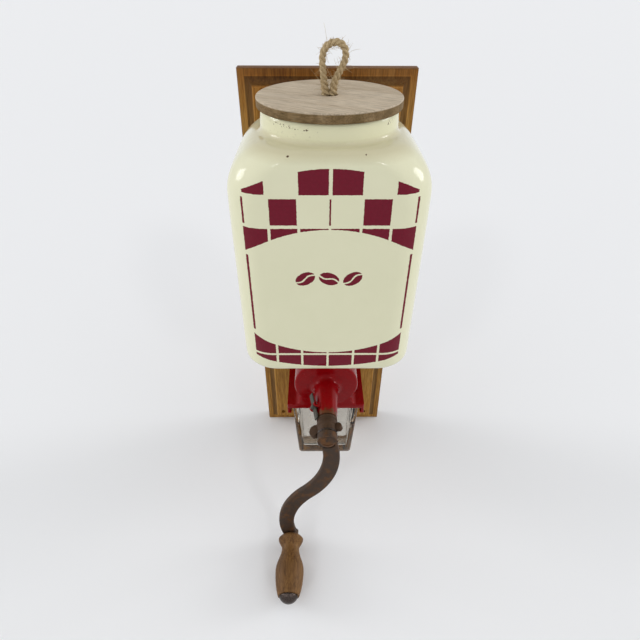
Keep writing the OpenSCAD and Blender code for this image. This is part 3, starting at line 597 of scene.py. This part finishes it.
def slab(bm, outline, low, high, matrix, bevel, segments=3):
    """A flat outline of (x, y) points, extruded from low to high, with its top and bottom edges rounded."""
    face = bm.faces.new([bm.verts.new((px, py, low)) for px, py in outline])
    made = bmesh.ops.extrude_face_region(bm, geom=[face])["geom"]
    tops = [v for v in made if isinstance(v, bmesh.types.BMVert)]
    bmesh.ops.translate(bm, verts=tops, vec=(0, 0, high - low))
    verts = list(face.verts) + tops
    flat = [e for e in {e for v in verts for e in v.link_edges}
            if abs(e.verts[0].co.z - e.verts[1].co.z) < 1e-6]
    made = bmesh.ops.bevel(
        bm, geom=flat, offset=bevel, offset_type="OFFSET", segments=segments, profile=0.5, affect="EDGES",
        material=-1, clamp_overlap=True,
    )
    verts = list({v for f in made["faces"] for v in f.verts} | {v for v in verts if v.is_valid})
    bmesh.ops.transform(bm, matrix=matrix, verts=verts)


def piece(name, bm, body, mat, nodes=(), sharp=35):
    """Makes the object, in metres, on its body."""
    bmesh.ops.remove_doubles(bm, verts=bm.verts, dist=1e-4)
    bmesh.ops.recalc_face_normals(bm, faces=bm.faces)
    bmesh.ops.scale(bm, vec=(MM, MM, MM), verts=bm.verts)
    mesh = bpy.data.meshes.new(name)
    bm.to_mesh(mesh)
    bm.free()
    mesh.shade_smooth()
    mesh.set_sharp_from_angle(angle=math.radians(sharp))
    mesh.materials.append(mat)
    obj = bpy.data.objects.new(name, mesh)
    bpy.context.scene.collection.objects.link(obj)
    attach(obj, body)
    if nodes:
        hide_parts(*nodes)
    return obj


# The lid's cord: a loop of three-strand jute that stands up from the lid

CORD_D = 4.0
CORD_LINE = [
    (-2.1, -14.5), (-2.1, -7), (-2.1, 0), (-2.6, 3), (-3.2, 7), (-3.8, 12), (-4.2, 17), (-3.8, 20.7),
    (-1.8, 24), (1.6, 25.6), (5.2, 25.4), (8, 22.8), (8.5, 18.6), (7, 14.5), (4.8, 10.5), (2.9, 6.8),
    (2.1, 3), (2.1, 0), (2.1, -7), (2.1, -14.5),
]


def smooth_line(points, steps):
    """A smooth line through the points."""
    line = []
    last = len(points) - 1
    for i in range(last):
        a, b, c, d = (Vector(points[k]) for k in (max(i - 1, 0), i, i + 1, min(i + 2, last)))
        for s in range(steps):
            t = s / steps
            square, cube = 2 * a - 5 * b + 4 * c - d, 3 * b - a - 3 * c + d
            line.append(0.5 * (2 * b + (c - a) * t + square * t ** 2 + cube * t ** 3))
    return line + [Vector(points[-1])]


def along_line(line, i):
    """Direction of the line at a point, and the direction square to it in the loop's plane."""
    ahead = (line[min(i + 1, len(line) - 1)] - line[max(i - 1, 0)]).normalized()
    return ahead, Vector((-ahead.z, 0, ahead.x))


def make_cord():
    line = [Vector((p.x, -MID, LID_TOP + p.y)) for p in smooth_line(CORD_LINE, 8)]
    length = sum((b - a).length for a, b in zip(line, line[1:]))
    strand_r, lay_mm, sides = 1.05, 9.0, 9
    out = Vector((0, 1, 0))
    bm = bmesh.new()
    for strand in range(3):
        gone, rings = 0.0, []
        for i, p in enumerate(line):
            side = along_line(line, i)[1]
            gone += (p - line[i - 1]).length if i else 0.0
            turn = 2 * math.pi * (gone / lay_mm + strand / 3)
            # The strands open out just above the lid
            above = p.z - LID_TOP
            swell = 1 + 0.3 * max(0.0, 1 - above / 9) if above > 0 else 1.0
            centre = p + swell * (CORD_D / 2 - strand_r) * (math.cos(turn) * side + math.sin(turn) * out)
            rings.append([
                centre + swell * strand_r * (math.cos(a) * side + math.sin(a) * out)
                for a in (2 * math.pi * k / sides for k in range(sides))])
        loft(bm, rings, caps=True)
    return piece("lid_cord", bm, "lid", JUTE, ("lid_loop",)), line, length * MM


def make_fuzz(line):
    """Loose fibres that stand off the cord, more of them where it leaves the lid."""
    pick = random.Random(4)
    bm = bmesh.new()
    shown = [i for i, p in enumerate(line) if p.z > LID_TOP + 1]
    for n in range(420):
        i = pick.choice(shown)
        if n % 3 == 0 and line[i].z > LID_TOP + 10:
            continue
        ahead, side = along_line(line, i)
        turn = pick.uniform(0, 2 * math.pi)
        off = math.cos(turn) * side + math.sin(turn) * Vector((0, 1, 0))
        lean = pick.choice((-1, 1)) * pick.uniform(0.4, 1.8) * ahead
        curl = Vector([pick.uniform(-1, 1) for _ in range(3)])
        reach = pick.uniform(1.2, 3.4) if pick.random() < 0.85 else pick.uniform(4, 8)
        spots = [line[i] + off * 1.4 + reach * (t * (0.7 * off + 0.5 * lean) + 0.5 * t * t * curl)
                 for t in (0, 0.33, 0.67, 1.0)]
        if min(p.z for p in spots) < LID_TOP + 0.2:
            continue
        rings = [[p + r * Vector((math.cos(a), 0.3 * math.sin(2 * a), math.sin(a))) for a in (0, 2.09, 4.19)]
                 for p, r in zip(spots, (0.1, 0.09, 0.07, 0.04))]
        loft(bm, rings, caps=True)
    return piece("cord_fuzz", bm, "lid", JUTE)


def make_knot():
    """The stop knot under the plug, a plain overhand turn drawn tight."""
    plug_under, drop = 158.1, 4.6
    steps, sides, r = 90, 10, 1.9
    centre = on_hopper(plug_under - drop)
    angles = [2 * math.pi * k / sides for k in range(sides)]
    line = []
    for i in range(steps):
        t = 2 * math.pi * i / steps
        reach = 3.2 + 1.5 * math.cos(3 * t)
        line.append(Vector((reach * math.cos(2 * t), reach * math.sin(2 * t), 2.4 * math.sin(3 * t))))
    rings = []
    for i, p in enumerate(line):
        ahead = (line[(i + 1) % steps] - line[i - 1]).normalized()
        side = ahead.cross(Vector((0, 0, 1))).normalized()
        out = ahead.cross(side)
        rings.append([centre @ (p + r * (math.cos(a) * side + math.sin(a) * out)) for a in angles])
    bm = bmesh.new()
    loft(bm, rings, around=True)
    return piece("cord_knot", bm, "lid", JUTE, ("lid_knot",))


cord, cord_line, cord_length = make_cord()
make_knot()
make_fuzz(cord_line)


# Backboard: flat border, cove, raised field

def make_board():
    w, h = BOARD_W / 2, BOARD_H / 2
    corners = ((-1, -1), (1, -1), (1, 1), (-1, 1))
    # Outline as (distance from the board's edge, distance from the wall)
    profile = [(0.8, 0.0), (0.0, 0.8), (0.0, 9.2), (0.3, 9.8), (0.9, 10.0)]
    profile += arc((BORDER, BOARD_FRONT), COVE_R, 270, 354, 7)
    profile += [(BORDER + COVE_R, BOARD_FRONT - 0.5), (BORDER + COVE_R + 0.5, BOARD_FRONT)]
    rings = [
        [Vector((sx * (w - inset), -out, sz * (h - inset))) for sx, sz in corners] for inset, out in profile
    ]
    bm = bmesh.new()
    loft(bm, rings, caps=True)
    board = piece("board", bm, "stand", OAK_BOARD, ("backboard",), sharp=28)
    hole_x, hole_z, hole_r = 44.0, 159.5, 2.25
    drill = bmesh.new()
    for sx, sz in corners:
        middle = Matrix.Translation((sx * hole_x, -BOARD_FRONT / 2, sz * hole_z))
        bmesh.ops.create_cone(
            drill, cap_ends=True, segments=32, radius1=hole_r, radius2=hole_r, depth=40,
            matrix=middle @ Matrix.Rotation(math.pi / 2, 4, "X"),
        )
    bmesh.ops.scale(drill, vec=(MM, MM, MM), verts=drill.verts)
    cutter_mesh = bpy.data.meshes.new("drill")
    drill.to_mesh(cutter_mesh)
    drill.free()
    cutter = bpy.data.objects.new("drill", cutter_mesh)
    bpy.context.scene.collection.objects.link(cutter)
    cut = board.modifiers.new("holes", "BOOLEAN")
    cut.object, cut.operation, cut.solver = cutter, "DIFFERENCE", "EXACT"
    drilled = bpy.data.meshes.new_from_object(board.evaluated_get(bpy.context.evaluated_depsgraph_get()))
    board.modifiers.remove(cut)
    board.data = drilled
    bpy.data.objects.remove(cutter)


make_board()


# Hopper

HOPPER_W, HOPPER_D, WALL_T, NECK_R, NECK_FOOT_R, OUTLET_R = 119.0, 102.0, 5.0, 40.0, 40.8, 16.0
SIDE_R, SIDE_TOP = 28.0, 156.0  # rounding of the shoulder at the sides
FACE_R, FACE_TOP = 8.0, 157.5  # and at front and back
FRONT_CORNER_R, BACK_CORNER_R, FOOT_R, INNER_FOOT_R = 22.0, 10.5, 8.0, 12.0
DOME_R, DOME_Z, DOME_BLEND = 107.0, 61.7, 14
TURNS = [2 * math.pi * (i + 0.5) / 192 for i in range(192)]


def rounded_reach(c, s, wide, deep, r):
    """Distance from the middle to the edge of a rounded rectangle in the direction (c, s)."""
    flat = min(wide / max(c, 1e-9), deep / max(s, 1e-9))
    px, py = flat * c, flat * s
    cx, cy = wide - r, deep - r
    if px <= cx or py <= cy:
        return flat
    along = c * cx + s * cy
    return along + math.sqrt(max(along * along - (cx * cx + cy * cy - r * r), 0.0))


def hopper_reach(turn, z, inset):
    """Distance from the hopper's axis to its wall: a rounded square that the dome draws into a circle."""
    foot = FOOT_R if inset == 0 else INNER_FOOT_R
    c, s = math.cos(turn), math.sin(turn)

    def drawn_in(r, top):
        """How far the roundings at the top and the foot pull the wall in at this height."""
        up, down = max(0.0, z - (top - r)), max(0.0, inset + foot - z)
        over = r - math.sqrt(max(r * r - up * up, 0.0))
        under = foot - math.sqrt(max(foot * foot - down * down, 0.0))
        return over + under

    wide = HOPPER_W / 2 - inset - drawn_in(SIDE_R - inset, SIDE_TOP - inset)
    deep = HOPPER_D / 2 - inset - drawn_in(FACE_R - inset, FACE_TOP - inset)
    corner = FRONT_CORNER_R - inset if s < 0 else BACK_CORNER_R - 0.25 * inset
    reach = rounded_reach(abs(c), abs(s), wide, deep, min(corner, wide - 1, deep - 1))
    dome = math.sqrt(max((DOME_R - inset) ** 2 - (z - DOME_Z) ** 2, 1.0))
    return (reach ** -DOME_BLEND + dome ** -DOME_BLEND) ** (-1 / DOME_BLEND)


def ring_at(reaches, heights):
    """A ring about the hopper's axis, with a reach and a height for each turn."""
    return [Vector((r * math.cos(t), -MID + r * math.sin(t), z)) for t, r, z in zip(TURNS, reaches, heights)]


def level_ring(z, inset):
    return ring_at([hopper_reach(t, z, inset) for t in TURNS], [z] * len(TURNS))


def round_ring(radius, z):
    return ring_at([radius] * len(TURNS), [z] * len(TURNS))


def shoulder_height(turn, radius):
    """Height at which the hopper's outside has drawn in to a radius."""
    low, high = 120.0, 164.0
    for _ in range(30):
        middle = (low + high) / 2
        if hopper_reach(turn, middle, 0.0) > radius:
            low = middle
        else:
            high = middle
    return low


def soft_min(a, b, blend):
    """The lesser of two values, with the change from one to the other rounded."""
    return (a + b - math.sqrt((a - b) ** 2 + blend * blend)) / 2


def shoulder_rings(start, count):
    """From the wall at one height in to the foot of the neck, with a fillet there."""
    fillet_r, top = 2.6, SIDE_TOP
    rings = []
    for step in range(1, count + 1):
        share = math.sin(step / count * math.pi / 2)
        radii, heights = [], []
        for turn in TURNS:
            wall = hopper_reach(turn, start, 0.0)
            r = wall + (NECK_FOOT_R - wall) * share
            inside = max(0.0, NECK_FOOT_R + fillet_r - r)
            rise = fillet_r - math.sqrt(max(fillet_r ** 2 - inside ** 2, 0.0))
            radii.append(r)
            heights.append(soft_min(shoulder_height(turn, r), top, 0.6) + rise)
        rings.append(ring_at(radii, heights))
    return rings


def make_hopper():
    # Heights of the rings, closer together where the wall curves
    foot = [0.05 + FOOT_R * (1 - math.cos(math.radians(a))) for a in range(0, 91, 9)]
    wall = [12 + i * 12.0 for i in range(10)] + [125, 129, 133, 136.5, 139.5, 142, 144, 146]
    rings = [round_ring(OUTLET_R, 0.0), round_ring(30.0, 0.0)] + [level_ring(z, 0.0) for z in foot + wall]
    rings += shoulder_rings(wall[-1], 30)
    neck = [
        (NECK_FOOT_R - 0.1, 160.0), (NECK_R + 0.3, 163.5), (NECK_R, 166.2), (NECK_R - 0.5, 166.8),
        (NECK_R - 1.2, 167.0),
    ]
    mouth = [(36.1, 167.0), (35.3, 166.7), (35.0, 166.0), (35.0, 156.0), (35.5, 153.0)]
    rings += [round_ring(r, z) for r, z in neck + mouth]
    inside = [150.6, 150, 149, 147, 144, 140, 135, 129, 110, 80, 50, 25, 17, 13, 10, 8, 6.5, 5.6, 5.1]
    rings += [level_ring(z, WALL_T) for z in inside]
    rings += [round_ring(22.0, WALL_T), round_ring(OUTLET_R, WALL_T)]
    bm = bmesh.new()
    loft(bm, rings, around=True)
    piece("bean_hopper", bm, "stand", GLAZE, ("hopper",), sharp=50)


make_hopper()


# Lid

def make_lid():
    thick, hole_r = 5.5, 4.6
    edge = arc((41.6, 0.8), 0.8, -90, 0, 5) + arc((41.8, 4.9), 0.6, 0, 90, 5)
    hole = arc((5.2, 4.9), 0.6, 90, 180, 3)
    bm = bmesh.new()
    turned(bm, [(hole_r, 0.0)] + edge + hole, on_hopper(LID_TOP - thick), 128)
    piece("lid", bm, "lid", LID_OAK, ("lid_disc",))


make_lid()


# Mill casting

def make_casting():
    bm = bmesh.new()
    # Chamber and bearing tube, as (radius, distance from the wall): outside, then the bores
    shell = [(25.2, BOARD_FRONT)] + arc((23.2, CASTING_FRONT - 2.0), 2.0, 0, 90, 6)
    shell += arc((14.4, CASTING_FRONT + 5.0), 5.0, 270, 180, 6) + arc((6.9, 130.8), 0.6, 0, 90, 4)
    shell += [
        (BUSH_HOLE_R, 131.4), (BUSH_HOLE_R, 91.5), (17.5, 91.5), (17.5, 51.0), (20.25, 51.0), (20.25, 20.0),
        (24.05, 20.0), (24.05, BOARD_FRONT),
    ]
    turned(bm, shell, outward(0), 128)
    # Throat under the hopper
    turned(
        bm,
        [
            (16.0, -14.0), (20.5, -14.0), (20.5, -6.5), (21.2, -5.4), (23.6, -5.0), (24.0, -4.6),
            (24.0, -2.4), (23.6, -2.0), (16.0, -2.0),
        ],
        on_hopper(), 96,
    )
    # Base plate and saddle, in one section across the shaft
    half = [(31.75, -27.1), (31.75, -22.1)] + arc((26.0, -17.1), 5.0, 270, 180, 6) + [(21.0, -13.8)]
    under = arc((0, 0), 22.8, -32, -148, 16)
    section = half + under + [(-x, y) for x, y in reversed(half)]
    slab(bm, section, BOARD_FRONT, CASTING_FRONT, outward(0), 0.9)
    rail = [(31.75, -26.5), (31.75, -32.5), (28.55, -32.5), (28.55, -30.9), (29.55, -30.9), (29.55, -26.5)]
    for side in (-1, 1):
        slab(bm, [(side * x, y) for x, y in rail], BOARD_FRONT, CASTING_FRONT, outward(0), 0.5)
    # Flange that the four wood screws go through
    flange = []
    for x, y, start in ((27.75, -23.1, -90), (27.75, 24.8, 0), (-27.75, 24.8, 90), (-27.75, -23.1, 180)):
        flange += arc((x, y), 4.0, start, start + 90, 6)
    flange_t = 5.0
    slab(bm, flange, BOARD_FRONT, BOARD_FRONT + flange_t, outward(0), 0.8)
    # Lugs of the lock lever
    beside = outward(123.0) @ Matrix.Rotation(math.radians(155), 4, "Z")
    lug = [(7.0, -2.1), (10.6, -2.1)] + arc((10.6, 0), 2.0, -80, 80, 8) + [(10.6, 2.1), (7.0, 2.1)]
    for side in (-1, 1):
        turn = beside @ Matrix.Translation((0, side * 3.1 + 0.8, 0)) @ Matrix.Rotation(math.pi / 2, 4, "X")
        slab(bm, lug, 0.0, 1.6, turn, 0.3)
    piece("mill_casting", bm, "stand", RED, ("mill_body",))


make_casting()


# Adjusting nut with two ears

def make_nut():
    back = outward(132.2)
    bm = bmesh.new()
    barrel = [
        (BUSH_HOLE_R, 0.0), (7.2, 0.0), (7.6, 0.4), (7.6, 2.2), (7.2, 2.6), (7.4, 3.2), (7.6, 4.0),
        (7.6, 7.0), (7.2, 7.4), (7.0, 7.9), (7.0, 12.2), (6.6, 12.6), (BUSH_HOLE_R, 12.6),
    ]
    turned(bm, barrel, back, 64)
    # Ears, each an outline of (reach from the axis, height along it), the lower left one larger
    large = [
        (6.6, 3.4), (9.6, 3.2), (12.2, 4.7), (13.4, 7.8), (12.8, 11.0), (10.4, 12.6), (8.1, 12.2),
        (7.4, 11.4), (6.6, 10.6),
    ]
    small = [(6.6, 5.8), (9.4, 6.0), (11.0, 7.4), (11.2, 9.6), (10.0, 11.4), (7.8, 11.4), (6.6, 10.8)]
    for turn, ear in ((202, large), (20, small)):
        outline = [(p.x, p.y) for p in smooth_line(ear + ear[:1], 4)[:-1]]
        upright = back @ Matrix.Rotation(math.radians(turn), 4, "Z") @ Matrix.Rotation(math.pi / 2, 4, "X")
        slab(bm, outline, -2.0, 2.0, upright, 1.1, 4)
    piece("eared_nut", bm, "adjuster", NUT_IRON, ("adjusting_nut",))


make_nut()


# Crank: a forged flat bar in an S, with a round hub and an eye for the grip

def make_crank():
    # Two equal arcs, each with the same chord and sag
    chord, sag = CRANK_R / 2, 9.3
    r = (chord * chord / 4 + sag * sag) / (2 * sag)
    spread = math.asin(chord / 2 / r)
    steps = 40
    line = []
    for i in range(steps + 1):
        a = spread * (1 - 2 * i / steps)
        side = Vector((math.cos(a), math.sin(a), 0))
        line.append((Vector((sag - r, -chord / 2, 0)) + r * side, side))
    line += [(Vector((0, -CRANK_R, 0)) - p, s) for p, s in reversed(line[:-1])]
    there = on_crank(BAR_BACK)
    thick, half_w, bulge, edge = CRANK_FRONT - BAR_BACK, 5.9, 0.7, 1.6
    low, high = edge, thick - edge
    bm = bmesh.new()
    rings = []
    for i, (p, side) in enumerate(line):
        t = i / (len(line) - 1)
        w = half_w + bulge * math.sin(math.pi * t)
        section = arc((w - edge, high), edge, 0, 90, 4) + arc((edge - w, high), edge, 90, 180, 4)
        section += arc((edge - w, low), edge, 180, 270, 4) + arc((w - edge, low), edge, 270, 360, 4)
        rings.append([there @ (p + u * side + Vector((0, 0, v))) for u, v in section])
    loft(bm, rings, caps=True)
    # Hub and eye, as (radius, distance from the wall)
    hub = [(SHAFT_HOLE_R, 146.3), (6.8, 146.3), (7.2, 146.7)] + arc((6.4, 151.7), 0.8, 0, 90, 5)
    turned(bm, hub + [(SHAFT_HOLE_R, CRANK_FRONT)], outward(0), 64)
    eye = [
        (SPINDLE_HOLE_R, BAR_BACK), (5.7, BAR_BACK), (6.3, 148.1), (6.3, 151.9), (5.7, CRANK_FRONT),
        (SPINDLE_HOLE_R, CRANK_FRONT),
    ]
    turned(bm, eye, on_grip(0), 48)
    piece("crank_bar", bm, "crank", IRON, ("crank_arm",))


make_crank()


# Grip and its cap

def make_grip():
    back, length, cap_back, steps = 153.6, 47.5, 201.2, 16
    belly, belly_r, end_r = 28.0, 11.6, 8.6
    # Collar, neck and belly, as (distance from the grip's back, radius), with eased sweeps between them
    turns = [(0.0, 8.6), (2.2, 10.6), (10.4, 7.3), (belly, belly_r)]
    outline = []
    for (h0, r0), (h1, r1) in zip(turns, turns[1:]):
        for i in range(steps):
            t = i / steps
            outline.append((r0 + (r1 - r0) * (1 - math.cos(math.pi * t)) / 2, h0 + (h1 - h0) * t))
    # Rounded along an ellipse from the belly to the end
    end = math.acos(end_r / belly_r)
    for i in range(steps + 1):
        turn = end * i / steps
        along = belly + (length - belly) * math.sin(turn) / math.sin(end)
        outline.append((belly_r * math.cos(turn), along))
    outline += [(SPINDLE_HOLE_R, length), (SPINDLE_HOLE_R, 0.0)]
    bm = bmesh.new()
    turned(bm, outline, on_grip(back), 72)
    piece("wooden_grip", bm, "grip", BEECH, ("grip",))
    bm = bmesh.new()
    dome = [(7.2, 0.0), (7.2, 1.2)] + arc((0.0, -2.68), 8.18, 28.3, 90, 12)
    hole = [(0.0, 2.9), (SPINDLE_HOLE_R, 2.9), (SPINDLE_HOLE_R, 0.0)]
    turned(bm, dome + hole, on_grip(cap_back), 64)
    piece("grip_end", bm, "crank", CAP_STEEL, ("grip_cap",))


make_grip()


# Catch glass

GLASS_H = 68.6


def glass_ring(z, inset):
    """Level section of the tapered glass, z in millimetres below its rim."""
    taper, middle, rim = 3.9, 59.0, AXIS_Z - 27.4
    drawn = taper * z / GLASS_H + inset
    wide, deep = 28.05 - drawn, 35.0 - drawn
    r = max(3.5 - inset / 2, 1.0)
    ring = []
    for sx, sy, start in ((1, 1, 0), (-1, 1, 90), (-1, -1, 180), (1, -1, 270)):
        for px, py in arc((sx * (wide - r), sy * (deep - r)), r, start, start + 90, 6):
            ring.append(Vector((px, -middle + py, rim - z)))
    return ring


def make_glass():
    # Outside from the foot to the rim, then inside, as (distance below the rim, inset)
    outside = [(GLASS_H, 1.4), (68.4, 0.5), (67.6, 0.0), (64.0, 0.0), (1.0, 0.0), (0.3, 0.3), (0.0, 0.9)]
    inside = [(0.0, 3.0), (0.3, 3.6), (1.2, 3.9), (58.0, 4.5), (60.8, 5.2), (61.5, 7.0), (61.6, 11.0)]
    bm = bmesh.new()
    loft(bm, [glass_ring(z, inset) for z, inset in outside + inside], caps=True)
    # Flanges that slide in the casting's rails
    for side in (-1, 1):
        lug = [(side * 26.0, -27.5), (side * 29.25, -27.5), (side * 29.25, -30.5), (side * 26.0, -30.5)]
        slab(bm, lug, 30.0, 88.0, outward(0), 0.4)
    piece("catch_cup", bm, "glass", GLASS, ("catch_glass",))


make_glass()


# The pieces that are shown as the CAD has them

PLAIN = {
    "lid_plug": LID_OAK, "lid_pins": STEEL, "hopper_gasket": CORK, "hopper_screws": STEEL,
    "hopper_washers": LEATHER, "body_screws": STEEL, "bearing_plate": BURR_IRON, "plate_screws": STEEL,
    "ring_burr": BURR_IRON, "ring_screws": STEEL, "cone_burr": BURR_IRON, "feed_screw": BURR_IRON,
    "drive_shaft": STEEL, "drive_pin": STEEL, "shaft_spring": STEEL, "front_bush": BRONZE,
    "thrust_washer": CAP_STEEL, "lock_lever": LEVER_STEEL, "lock_pin": STEEL, "crank_screw": IRON,
    "grip_spindle": STEEL, "grip_washer": CAP_STEEL,
}
for node_name, mat in PLAIN.items():
    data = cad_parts[node_name].data
    data.materials.clear()
    data.materials.append(mat)


# Floor and light

def make_stage():
    mat = new_material("paper_sweep", Base_Color=linear("#f4f5f7"), Roughness=0.9)[0]
    bm = bmesh.new()
    bmesh.ops.create_grid(
        bm, x_segments=1, y_segments=1, size=30, matrix=Matrix.Translation((0, 0, FLOOR_Z * MM))
    )
    mesh = bpy.data.meshes.new("floor")
    bm.to_mesh(mesh)
    bm.free()
    mesh.materials.append(mat)
    floor = bpy.data.objects.new("floor", mesh)
    bpy.context.scene.collection.objects.link(floor)
    # The room is seen a little below white, and lights the object at a lower level
    world = bpy.data.worlds.new("studio")
    bpy.context.scene.world = world
    world.use_nodes = True
    tree = world.node_tree
    rays = add(tree, "LightPath").node.outputs
    seen = add(tree, "Math", [rays["Is Camera Ray"], rays["Is Glossy Ray"]], operation="MAXIMUM")
    seen = add(tree, "Math", [seen, rays["Is Transmission Ray"]], operation="MAXIMUM")
    lit, more_when_seen = 0.5, 0.3
    back = tree.nodes["Background"]
    back.inputs["Color"].default_value = (0.985, 0.99, 1.0, 1)
    tree.links.new(
        add(tree, "Math", [seen, more_when_seen, lit], operation="MULTIPLY_ADD"), back.inputs["Strength"]
    )
    for name, away, strength, angle in (
        ("side_left", (-0.87, -0.1, 0.48), 0.66, 80),
        ("side_right", (0.87, -0.1, 0.48), 0.66, 80),
        ("low_left", (-0.94, 0.2, 0.26), 0.75, 20),
        ("low_right", (0.94, 0.2, 0.26), 0.75, 20),
        ("key_left", (-0.5, -0.8, 0.6), 0.24, 8),
        ("key_right", (0.5, -0.8, 0.6), 0.24, 8),
    ):
        data = bpy.data.lights.new(name, "SUN")
        data.energy, data.angle = strength, math.radians(angle)
        lamp = bpy.data.objects.new(name, data)
        bpy.context.scene.collection.objects.link(lamp)
        lamp.rotation_euler = Vector(away).to_track_quat("Z", "Y").to_euler()
    bpy.context.scene.view_settings.view_transform = "Standard"


make_stage()
